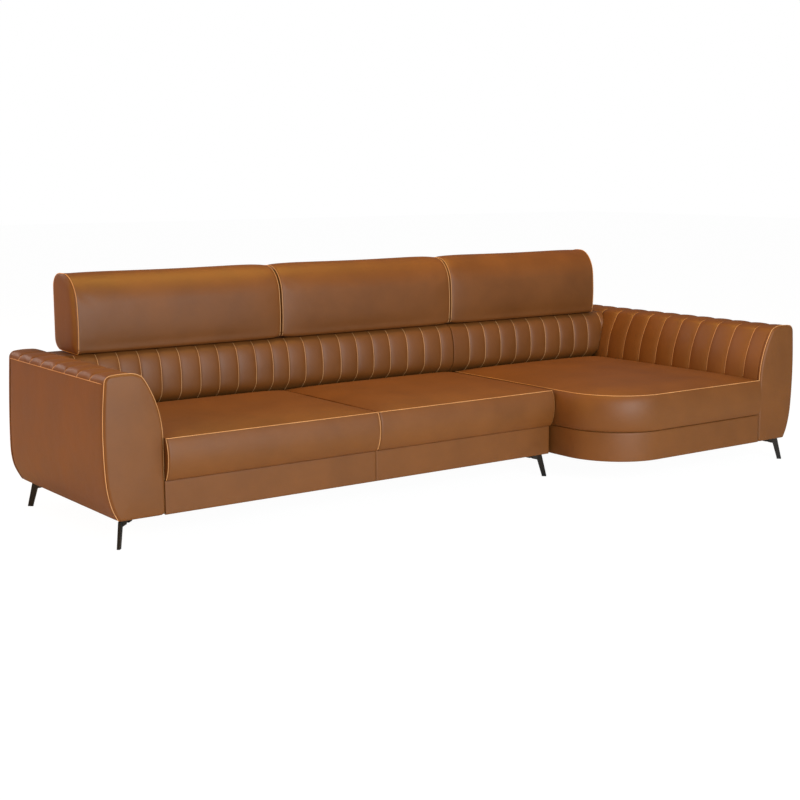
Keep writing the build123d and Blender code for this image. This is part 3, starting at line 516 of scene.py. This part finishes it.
def clear_of(places, slits):
    """Places that keep off the slits' edges, and two places close to each of these edges."""
    edges = [edge for pair in slits for edge in pair]
    kept = [x for x in places if all(abs(x - edge) > SLIT_CLEAR for edge in edges)]
    return sorted(kept + [edge + step for edge in edges for step in (-SLIT_EDGE, SLIT_EDGE)])


def headrest(name):
    """One headrest's pad with its piping, riding on its own body."""
    left, right = HEADREST_ENDS[name]
    ends = ((left, 1, name == "left"), (right, -1, name == "right"))
    slits = []
    for hinge, way in zip(HINGES[name], (1, -1)):
        slits.append(sorted((hinge - way * SLIT[0], hinge + way * SLIT[1])))
    places = [left + 0.045 + (right - left - 0.090) * step / 44 for step in range(45)]
    sections = []
    for x in clear_of(places, slits):
        inset = 0.006 * exp(-min(x - left, right - x) / 0.035)
        cut = any(pair[0] < x < pair[1] for pair in slits)
        sections.append([Vector((x, y, z)) for y, z in headrest_section(inset, cut)])
    caps = [[end_ring(*side, *ring) for ring in (DOMED_END if side[2] else FLAT_END)] for side in ends]
    bm = bmesh.new()
    skin(bm, caps[0] + sections + caps[1][::-1])
    piece = new_piece(f"{name}_headrest_pad", bm)

    def held(point):
        beside = min(point.x - left, right - point.x) < 0.024
        below = point.z < 0.69 or point.y > 0.56 and point.z < 0.78
        by_slit = any(pair[0] - 0.02 < point.x < pair[1] + 0.02 for pair in slits)
        return beside or below or by_slit and point.z < 0.80 and point.y > 0.55

    swell(piece, held, HEADREST_REACH)
    rings = []
    for side in ends:
        ring = end_ring(*side, *((0.0205, 0.0004, 1.0) if side[2] else (0.005, 0.0068, 1.0)))
        rings.append(ring + ring[:1])
    piping(f"{name}_headrest_piping", rings, f"{name}_headrest", 0.0021)
    fit(piece, f"{name}_headrest", [f"{name}_headrest_cushion"])


for headrest_name in HEADREST_ENDS:
    headrest(headrest_name)

# Arms: a channelled leather pad from the outer seam over the crest to the seat, a smooth outer panel,
# and padded front and rear panels, all glued and tacked to the arm's plywood ribs.
# Contrast seams lie in the channels, along the outer seam and round the front panel.
X_OUTER = 1.740
Y_PANEL = 0.6655
Y_REAR = 0.6775
Z_BASE = 0.109
ARM_WIDTH = 0.243
SHOULDER_IN = 0.165
SEAM_IN = 0.012
Z_ARM_SEAM = 0.634
Z_REST = 0.416
# Upright middle line of an arm, as distance in, foot and top
ARM_MIDDLE = (0.130, 0.24, 0.54)
# Inner line of the channelled pad along the ribs: at the seat, under the shoulder and by the outer seam
PAD_BACK = 0.215
PAD_SHOULDER = (0.137, 0.622)
PAD_HEM = (0.026, 0.622)
ARM_FRONTS = {-1: Y_FRONT, 1: Y_CHAISE}
ARM_NAMES = {-1: "left", 1: "right"}
FIRST_CHANNEL = {-1: 0.117, 1: 0.094}
ARM_CHANNEL = 0.117
FACING = 0.024
CHANNEL_STEPS = (0.04, 0.12, 0.26, 0.5, 0.74, 0.88, 0.96)
CHANNEL_DEPTH = 0.010
SEAM_DEPTH = 0.0088
SEAM_RADIUS = 0.0016
END_SINK = 0.15
TIGHT = 0.0008
# Rings of a panel's face: part of the way to the middle line, part of the dome's height
PANEL_DOME = ((0.12, 0.25), (0.25, 0.5), (0.4, 0.75), (0.6, 0.95), (0.8, 1.0), (0.93, 1.0))
# Distance in from the outermost line at heights of the outer side, at the arm's front and rear
FLANK_FRONT = (
    (Z_BASE, 0.054),
    (0.140, 0.0370),
    (0.168, 0.0255),
    (0.228, 0.0110),
    (0.295, 0.0045),
    (0.365, 0.0015),
    (0.430, 0.0005),
    (0.500, 0.0020),
    (0.570, 0.0060),
    (Z_ARM_SEAM, SEAM_IN),
)
FLANK_REAR = (
    (Z_BASE, 0.046),
    (0.130, 0.0330),
    (0.173, 0.0124),
    (0.210, 0.0040),
    (0.249, 0.0003),
    (0.350, 0.0005),
    (0.440, 0.0030),
    (0.540, 0.0070),
    (Z_ARM_SEAM, SEAM_IN),
)
FLANK_HEIGHTS = (Z_ARM_SEAM, 0.6325, 0.62, 0.59, 0.55, 0.51, 0.47, 0.43, 0.39, 0.35, 0.31, 0.275)
FLANK_HEIGHTS += (0.245, 0.22, 0.195, 0.175, 0.155, 0.14, 0.127, 0.117, 0.111, Z_BASE)


def arc_through(start, middle, end, count):
    """Even points along the circle through three points, from the first to the last."""
    (ax, ay), (bx, by), (cx, cy) = start, middle, end
    span = 2 * (ax * (by - cy) + bx * (cy - ay) + cx * (ay - by))
    squares = (ax * ax + ay * ay, bx * bx + by * by, cx * cx + cy * cy)
    ox = (squares[0] * (by - cy) + squares[1] * (cy - ay) + squares[2] * (ay - by)) / span
    oy = (squares[0] * (cx - bx) + squares[1] * (ax - cx) + squares[2] * (bx - ax)) / span
    first, second, third = (Vector((x - ox, y - oy)) for x, y in (start, middle, end))
    turn = first.angle_signed(second) + second.angle_signed(third)
    points = []
    for step in range(count + 1):
        angle = -turn * step / count
        x = ox + first.x * cos(angle) - first.y * sin(angle)
        y = oy + first.x * sin(angle) + first.y * cos(angle)
        points.append((x, y))
    return points


def arm_top(dip):
    """The arm's outline from its outer seam over the crest to the seat, sunk by dip at a seam."""
    corner_end = (0.040, 0.6645 - dip)
    crest = (0.105, 0.6665 - dip)
    shoulder = (SHOULDER_IN - dip * 0.6, 0.650 - dip * 0.8)
    rest = (ARM_WIDTH - dip, Z_REST)
    points = arc_through((SEAM_IN, Z_ARM_SEAM), (0.0195 + dip * 0.6, 0.6555 - dip * 0.6), corner_end, 6)
    (u, low), (v, high) = points[:2]
    points.insert(1, (u * 0.9 + v * 0.1, low * 0.9 + high * 0.1))
    points += arc_through(corner_end, (0.0725, 0.667 - dip), crest, 4)[1:]
    points += arc_through(crest, (0.1375, 0.6625 - dip * 0.95), shoulder, 5)[1:]
    points += arc_through(shoulder, (0.2188 - dip * 0.9, 0.544 - dip * 0.4), rest, 14)[1:]
    return points


def arm_flank(part, inset=0.0):
    """The arm's outer side from its seam down to its foot, part of the way back along the arm."""
    points = []
    for z in FLANK_HEIGHTS:
        front, rear = curve_through(FLANK_FRONT, z), curve_through(FLANK_REAR, z)
        points.append((front + (rear - front) * part + inset, z))
    return points


def channel_places(start, end, seams):
    """Places along a channelled pad, each with its sink, from 0 between seams to 1 at a seam."""
    edges = [start, *seams, end]
    places = [(start, END_SINK), (start + TIGHT, END_SINK)]
    for low, high in zip(edges, edges[1:]):
        for part in CHANNEL_STEPS:
            sunk = 1 - sqrt(1 - (2 * part - 1) ** 2)
            if low == start and part < 0.5 or high == end and part > 0.5:
                sunk *= END_SINK
            places.append((low + (high - low) * part, sunk))
        places.append((high, 1.0 if high < end else END_SINK))
    places.insert(-1, (end - TIGHT, END_SINK))
    return places


def drawn_in(outline, inset, part=0.0):
    """An arm's closed outline drawn in to its middle line by a distance, then by a part of the way."""
    middle, foot, top = ARM_MIDDLE
    points = []
    for u, z in outline:
        du, dz = middle - u, min(max(z, foot), top) - z
        way = inset / hypot(du, dz)
        way += (1 - way) * part
        points.append((u + du * way, z + dz * way))
    return points


def arm(side):
    """The left (-1) or right (1) arm: its pad, outer panel, front and rear panels and seams."""
    name = ARM_NAMES[side]
    front = ARM_FRONTS[side]
    start = front + FACING

    def at(u, y, z):
        return Vector((side * (X_OUTER - u), y, z))

    # Channelled pad with a seam in each channel
    seams = []
    while not seams or seams[-1] + ARM_CHANNEL * 1.25 < Y_PANEL:
        seams.append(seams[-1] + ARM_CHANNEL if seams else start + FIRST_CHANNEL[side])
    sections = []
    for y, sunk in channel_places(start, Y_PANEL, seams):
        top = arm_top(CHANNEL_DEPTH * sunk)
        top += run(top[-1], (ARM_WIDTH, Z_DECK), 5) + run((ARM_WIDTH, Z_DECK), (PAD_BACK, Z_DECK), 2)
        top += run((PAD_BACK, Z_DECK), (PAD_BACK, Z_REST), 4) + run((PAD_BACK, Z_REST), PAD_SHOULDER, 5)
        top += run(PAD_SHOULDER, PAD_HEM, 4) + [(0.014, 0.633)]
        sections.append([at(u, y, z) for u, z in top])
    bm = bmesh.new()
    skin(bm, sections)
    fit(new_piece(f"{name}_arm_pad", bm), "sofa", [f"{name}_arm_channel_pad"])
    lines = [[at(u, y, z) for u, z in arm_top(SEAM_DEPTH)] for y in seams]
    lines.append([at(0.0105, start + (Y_PANEL - start) * step / 30, 0.6345) for step in range(31)])
    piping(f"{name}_arm_seams", lines, "sofa", SEAM_RADIUS)

    # Outer panel, pulled in along its front and rear edges
    sections = []
    for gap in spread(Y_PANEL - start, 24):
        part = (start + gap - front) / (Y_REAR - front)
        pull = 0.004 * exp(-min(gap, Y_PANEL - start - gap) / 0.008)
        outer = arm_flank(part, pull)
        inner = arm_flank(part, 0.012)
        hem = [(outer[-1][0] + 0.001, Z_BASE)] + inner[-1:2:-3] + [(0.0135, 0.6335)]
        sections.append([at(u, start + gap, z) for u, z in outer + hem])
    bm = bmesh.new()
    skin(bm, sections)
    fit(new_piece(f"{name}_arm_side", bm), "sofa", [f"{name}_arm_outer_panel"])

    # Front and rear panels: rings from the wall side over the rounded edge to the middle of the face
    panels = (
        ("front", front, 1, 0.0, FACING, 0.012, 0.005),
        ("rear", Y_REAR, -1, 1.0, Y_REAR - Y_PANEL, 0.005, 0.001),
    )
    for end, y, way, part, deep, edge, dome in panels:
        outline = arm_flank(part)[::-1] + arm_top(0.0)[1:] + run((ARM_WIDTH, Z_REST), (ARM_WIDTH, Z_BASE), 10)
        outline += run((ARM_WIDTH, Z_BASE), outline[0], 8)[:-1]
        rings = [(deep, outline), (deep - TIGHT, outline), (edge, outline)]
        for turn in (18, 36, 54, 72, 90):
            inset = edge * (1 - cos(radians(turn)))
            rings.append((edge * (1 - sin(radians(turn))), drawn_in(outline, inset)))
        for part_in, part_out in PANEL_DOME:
            rings.append((-dome * part_out, drawn_in(outline, edge, part_in)))
        bm = bmesh.new()
        skin(bm, [[at(u, y + way * out, z) for u, z in ring] for out, ring in rings])
        fit(new_piece(f"{name}_arm_{end}", bm), "sofa", [f"{name}_arm_{end}_panel"])
        if end == "front":
            welt = drawn_in(outline, -0.0014)[1:-8]
            piping(f"{name}_arm_front_piping", [[at(u, y + 0.010, z) for u, z in welt]], "sofa")


arm(-1)
arm(1)

# Lumbar pads: channelled leather rolls behind the seats and behind the chaise, cut to the arms' slope
# and stapled to the back frames. A contrast seam lies in each channel.
Z_LUMBAR = 0.398
Z_BACK = 0.648
Y_WEBBING = 0.5635
# Left and right end of each module's back, and the side on which it meets an arm
MODULES = {"sofa": (-1.6218, 0.485, -1), "chaise": (0.489, 1.6218, 1)}
HIDDEN_END = X_OUTER - 0.155
# Face of the roll as (height, depth), and the sewn places along each pad, which are not quite even
ROLL = (
    (Z_LUMBAR, 0.5020),
    (0.408, 0.4885),
    (0.4185, 0.4765),
    (0.427, 0.4670),
    (0.437, 0.4575),
    (0.450, 0.4490),
    (0.470, 0.4440),
    (0.517, 0.4425),
    (0.550, 0.4450),
    (0.580, 0.4510),
    (0.605, 0.4585),
    (0.625, 0.4690),
    (0.640, 0.4830),
    (0.6495, 0.4980),
)
ROLL_HEIGHTS = (Z_LUMBAR, 0.404, 0.411, 0.419, 0.428, 0.440, 0.453, 0.470, 0.490, 0.515)
ROLL_HEIGHTS += (0.540, 0.565, 0.590, 0.610, 0.625, 0.636, 0.644, 0.6495)
SEAMS = {"sofa": [-1.516, -1.420, -1.324, -1.228, -1.132, -1.037, -0.941, -0.845, -0.749, -0.656, -0.566]}
SEAMS["sofa"] += [-0.480, -0.389, -0.293, -0.191, -0.095, 0.000, 0.099, 0.204, 0.308, 0.412]
SEAMS["chaise"] = [0.597, 0.700, 0.804, 0.908, 1.011, 1.114, 1.218, 1.321, 1.424, 1.527]
arm_slope = arm_top(0.0)


def arm_reach(z):
    """How far in from its outer face the arm reaches at a height."""
    for (u, low), (v, high) in zip(arm_slope, arm_slope[1:]):
        if u > 0.16 and high <= z <= low:
            return u + (v - u) * (low - z) / (low - high)
    return ARM_WIDTH if z < 0.5 else SHOULDER_IN


def against_arm(side, x, z, gap=0.002):
    """Keeps a point clear of the arm on the left (-1) or right (1)."""
    limit = X_OUTER - arm_reach(z) - gap
    return min(x, limit) if side > 0 else max(x, -limit)


def roll_face(dip):
    """The roll's face from its lip to its top, sunk by dip at a channel's seam."""
    line = []
    for z in ROLL_HEIGHTS:
        part = (z - Z_LUMBAR) / (ROLL[-1][0] - Z_LUMBAR)
        y = curve_through(ROLL, z) + dip * (0.6 + 1.6 * part * (1 - part))
        line.append((y, z - dip * 0.5 * part ** 4))
    return line


def lumbar(name, start, end, side):
    """One module's lumbar pad with its seams."""
    sections = []
    for x, sunk in channel_places(start, end, SEAMS[name]):
        if abs(x) > HIDDEN_END:
            continue
        line = roll_face(CHANNEL_DEPTH * sunk)
        line += run(line[-1], (Y_WEBBING, Z_BACK), 4) + run((Y_WEBBING, Z_BACK), (Y_WEBBING, Z_LUMBAR), 10)
        line += run((Y_WEBBING, Z_LUMBAR), line[0], 4)[:-1]
        sections.append([Vector((against_arm(side, x, z), y, z)) for y, z in line])
    bm = bmesh.new()
    skin(bm, sections)
    fit(new_piece(f"{name}_lumbar", bm), "sofa", [f"{name}_lumbar_pad"])
    lines = []
    for x in SEAMS[name]:
        line = [(y, z) for y, z in roll_face(SEAM_DEPTH) if against_arm(side, x, z, 0.004) == x]
        if len(line) > 2:
            lines.append([Vector((x, y, z)) for y, z in line])
    piping(f"{name}_lumbar_seams", lines, "sofa", SEAM_RADIUS)


for module, (left, right, side) in MODULES.items():
    lumbar(module, left, right, side)

# Aprons: leather over board below the cushions, two panels on the two-seat base and one strip bent
# round the chaise's corner. Their edges are turned under and stapled.
APRON_DEEP = 0.012
APRON_ROUND = 0.005
APRON_BELLY = 0.0015
APRON_JOINT = 0.001


def apron_section(deep, low, high):
    """Section of an apron as (distance in from the face, height), with round edges and a slight belly."""
    edge = APRON_ROUND
    tall = high - low - 2 * edge
    face = [(-APRON_BELLY * sin(pi * step / 8), low + edge + tall * step / 8) for step in range(9)]
    upper = arc((edge, high - edge), edge, 180, 90, 3) + run((edge, high), (deep, high), 2)
    lower = run((deep, high), (deep, low), 4) + run((deep, low), (edge, low), 2)
    return face + upper + lower + arc((edge, low + edge), edge, -90, -180, 3)[:-1]


apron = apron_section(APRON_DEEP, Z_BASE, Z_DECK - 0.0015)
bm = bmesh.new()
for left, right in ((X_SEATS[0], X_SEATS[1]), (X_SEATS[1], X_SEATS[2] - SIDE_GAP)):
    sections = []
    width = right - left - APRON_JOINT
    for gap in spread(width, 20, (0.0008, 0.0025, 0.006)):
        fall = 0.0025 * exp(-min(gap, width - gap) / 0.0015)
        x = left + APRON_JOINT / 2 + gap
        sections.append([Vector((x, Y_FRONT + max(deep, fall), z)) for deep, z in apron])
    skin(bm, sections)
fit(new_piece("sofa_apron_leather", bm), "sofa", ["sofa_apron"])

path = [(X_CHAISE, Y_PANEL - 0.9 * step / 20, 1.0, 0.0) for step in range(20)]
centre = (X_CHAISE + CHAISE_ROUND, Y_CHAISE + CHAISE_ROUND)
for step in range(29):
    turn = pi / 2 * step / 28
    inward = (cos(turn), sin(turn))
    path.append((centre[0] - inward[0] * CHAISE_ROUND, centre[1] - inward[1] * CHAISE_ROUND, *inward))
front_run = X_ARM - X_CHAISE - CHAISE_ROUND
path += [(centre[0] + front_run * step / 20, Y_CHAISE, 0.0, 1.0) for step in range(1, 21)]
bm = bmesh.new()
skin(bm, [[Vector((x + ix * deep, y + iy * deep, z)) for deep, z in apron] for x, y, ix, iy in path])
fit(new_piece("chaise_apron_leather", bm), "sofa", ["chaise_apron"])

# Back: leather stretched over each module's rear side and a thin pad on top of the posts.
# The pad's slits let the hinge arms through.
REAR_EDGE = 0.004
Z_PAD_FOOT = 0.640
# Slit in the pad: reach to each side of the hinge, front, rear and foot
PAD_SLIT = (0.002, 0.006, 0.603, 0.643, 0.6405)
bm = bmesh.new()
for module, (left, right, side) in MODULES.items():
    rear = bmesh.new()
    face = [(Y_REAR, Z_BASE + REAR_EDGE + (Z_BACK - Z_BASE - 0.010) * step / 24) for step in range(25)]
    face += [(Y_REAR - REAR_EDGE, Z_BACK), (Y_PANEL, Z_BACK)]
    face += run((Y_PANEL, Z_BACK), (Y_PANEL, Z_BASE), 12)
    face.append((Y_REAR - REAR_EDGE, Z_BASE))
    sections = []
    for gap in spread(right - left, 40):
        sections.append([Vector((against_arm(side, left + gap, z), y, z)) for y, z in face])
    skin(rear, sections)
    fit(new_piece(f"{module}_back_leather", rear), "sofa", [f"{module}_back_panel"])

    places = [left + gap for gap in spread(right - left, 40, (0.003, 0.008, 0.02))]
    hinges = [(x, way) for pair in HINGES.values() for x, way in zip(pair, (1, -1)) if left < x < right]
    slits = [sorted((x - way * PAD_SLIT[0], x + way * PAD_SLIT[1])) for x, way in hinges]
    sections = []
    for x in clear_of(places, slits):
        top = [(Y_WEBBING + (Y_PANEL - Y_WEBBING) * step / 16, Z_BACK) for step in range(17)]
        if any(pair[0] < x < pair[1] for pair in slits):
            top = [(y, PAD_SLIT[4] if PAD_SLIT[2] <= y <= PAD_SLIT[3] else z) for y, z in top]
        top += [(Y_PANEL, Z_PAD_FOOT)] + run((Y_PANEL, Z_PAD_FOOT), (Y_WEBBING, Z_PAD_FOOT), 8)
        sections.append([Vector((against_arm(side, x, z), y, z)) for y, z in top])
    skin(bm, sections)
fit(new_piece("back_top_leather", bm), "sofa", ["back_top_pads"], levels=0)

# Hidden frame: the CAD's plywood, foam, felt, webbing and lining keep their shapes and take real materials.
# They show only from below, behind, or when a headrest is tilted.
def dress(material, *nodes):
    """Gives CAD nodes a material."""
    for node in nodes:
        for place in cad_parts[node].material_slots:
            place.material = material


def plain(name, scale, dark, light, roughness, relief, distance, stretch=(1.0, 1.0, 1.0), **values):
    """A material with a two-tone noise of the given scale that also drives its relief."""
    material, tree, shader = new_material(name, Roughness=roughness, **values)
    place = add_node(tree, "ShaderNodeTexCoord").outputs["Object"]
    place = add_node(tree, "ShaderNodeMapping", [("Vector", place)], Scale=stretch).outputs["Vector"]
    grain = add_node(tree, "ShaderNodeTexNoise", [("Vector", place)], Scale=scale, Detail=4.0).outputs["Fac"]
    tree.links.new(ramp(tree, grain, (0.35, dark), (0.65, light)), shader.inputs["Base Color"])
    bump = add_node(tree, "ShaderNodeBump", [("Height", grain)], Strength=relief, Distance=distance)
    tree.links.new(bump.outputs["Normal"], shader.inputs["Normal"])
    return material


# Birch plywood, peeled and glued: pale and matt, with long streaks 6 to 17 mm wide along the boards
birch = plain("plywood", 60.0, "#B08C5E", "#C9A878", 0.6, 0.2, 0.0004, (0.15, 1.0, 3.0))
# Cut foam: cream and dull, with open cells of 1.4 mm
foam = plain("foam", 700.0, "#D9CFA8", "#EBE3C4", 0.95, 0.5, 0.0006)
# Needled felt: grey and fuzzy, with clumps of 2 mm
felt = plain("felt", 500.0, "#3E3D3B", "#5A5957", 0.95, 0.6, 0.0006)
# Woven elastic webbing: black and dull, with threads of about 1 mm
webbing = plain("elastic_webbing", 900.0, "#1E1E1E", "#34322F", 0.8, 0.5, 0.0005, (1.0, 0.4, 1.0))
# Spun lining: black and matt, with fibres of 0.8 mm
lining = plain("lining_cloth", 1200.0, "#0E0E0E", "#1C1C1C", 0.9, 0.4, 0.0003)
dress(
    birch,
    "sofa_front_rail",
    "rear_rails",
    "sofa_cross_rails",
    "sofa_spring_rails",
    "corner_blocks",
    "chaise_curved_rail",
    "chaise_cross_rails",
    "chaise_front_deck",
    "sofa_back_frame",
    "chaise_back_frame",
    "left_arm_frame",
    "right_arm_frame",
    "left_headrest_frame",
    "middle_headrest_frame",
    "right_headrest_frame",
)
dress(foam, "seat_foams", "chaise_foam")
dress(felt, "seat_felts")
dress(webbing, "seat_webbing", "back_webbing")
dress(lining, "dust_covers")

# Feet, glides and fittings: splayed feet of powder-coated steel on plastic glides, screwed to the base,
# and zinc-plated hinges, bolts and connectors. The CAD shapes stay.

# Powder coat: black and satin, with an orange peel of 0.7 mm
coat = plain("black_steel", 1500.0, "#0B0B0B", "#151515", 0.42, 0.25, 0.0001, Specular_IOR_Level=0.4)
# Zinc plating: bright grey metal, with a spangle of 11 mm
zinc = plain("zinc_steel", 90.0, "#8F9092", "#A9AAAB", 0.35, 0.1, 0.0001, Metallic=1.0)
# Moulded plastic: black and matt, with a grain of about 1 mm, coarser than real so that it can show
plastic = plain("black_plastic", 800.0, "#0D0D0D", "#161616", 0.5, 0.2, 0.0001)
dress(
    coat,
    "front_left_foot",
    "front_middle_foot",
    "front_right_foot",
    "rear_left_foot",
    "rear_middle_foot",
    "rear_right_foot",
)
dress(
    zinc,
    "hinge_arms",
    "hinge_pins",
    "hinge_bolts",
    "arm_bolts",
    "foot_screws",
    "module_connectors",
    "left_headrest_ratchet",
    "middle_headrest_ratchet",
    "right_headrest_ratchet",
)
dress(plastic, "foot_glides", "support_feet")

# Studio: a white room with a broad cool light in front, warm light from above and from the left,
# and a weak light behind. The camera sees the floor and the room as white, with a faint shadow on the floor.
floor_material, floor_tree, floor_shader = new_material("floor", Roughness=0.9, Specular_IOR_Level=0.1)
floor_shader.inputs["Base Color"].default_value = (0.9, 0.9, 0.9, 1)
seen = add_node(floor_tree, "ShaderNodeLightPath").outputs["Is Camera Ray"]
bright = add_node(floor_tree, "ShaderNodeEmission", Strength=1.08)
share = add_node(floor_tree, "ShaderNodeMath", [(0, seen)], operation="MULTIPLY")
share.inputs[1].default_value = 0.9
mix = add_node(
    floor_tree,
    "ShaderNodeMixShader",
    [(0, share.outputs[0]), (1, floor_shader.outputs[0]), (2, bright.outputs[0])],
)
floor_tree.links.new(mix.outputs[0], floor_tree.nodes["Material Output"].inputs["Surface"])
bm = bmesh.new()
bmesh.ops.create_grid(bm, x_segments=1, y_segments=1, size=30.0)
floor = new_piece("floor", bm, floor_material)


def lamp(name, place, aim, size, power, tint):
    """A round area lamp at a place, turned to its aim."""
    data = bpy.data.lights.new(name, "AREA")
    data.shape = "DISK"
    data.size = size
    data.energy = power
    data.color = tint
    body = bpy.data.objects.new(name, data)
    body.location = place
    body.rotation_euler = (Vector(aim) - Vector(place)).to_track_quat("-Z", "Y").to_euler()
    scene.collection.objects.link(body)


lamp("front_lamp", (-0.8, -6.5, 2.4), (0, 0, 0.4), 4.5, 365, (0.94, 0.98, 1.0))
lamp("top_lamp", (0.4, 0.2, 4.6), (0, 0, 0.4), 2.6, 140, (1.0, 0.55, 0.10))
lamp("left_lamp", (-6.0, 0.6, 2.2), (-1.0, 0, 0.4), 2.6, 120, (1.0, 0.50, 0.08))
lamp("rear_lamp", (-3.5, 6.0, 4.0), (0, 0.6, 0.4), 3.0, 120, (1.0, 0.96, 0.9))
world = bpy.data.worlds.new("studio")
scene.world = world
world.use_nodes = True
room = world.node_tree.nodes["Background"]
room.inputs["Color"].default_value = (1, 1, 1, 1)
seen = add_node(world.node_tree, "ShaderNodeLightPath").outputs["Is Camera Ray"]
level = add_node(world.node_tree, "ShaderNodeMapRange", [("Value", seen)])
level.inputs["To Min"].default_value = 0.17
level.inputs["To Max"].default_value = 1.0
world.node_tree.links.new(level.outputs["Result"], room.inputs["Strength"])
scene.view_settings.view_transform = "Standard"
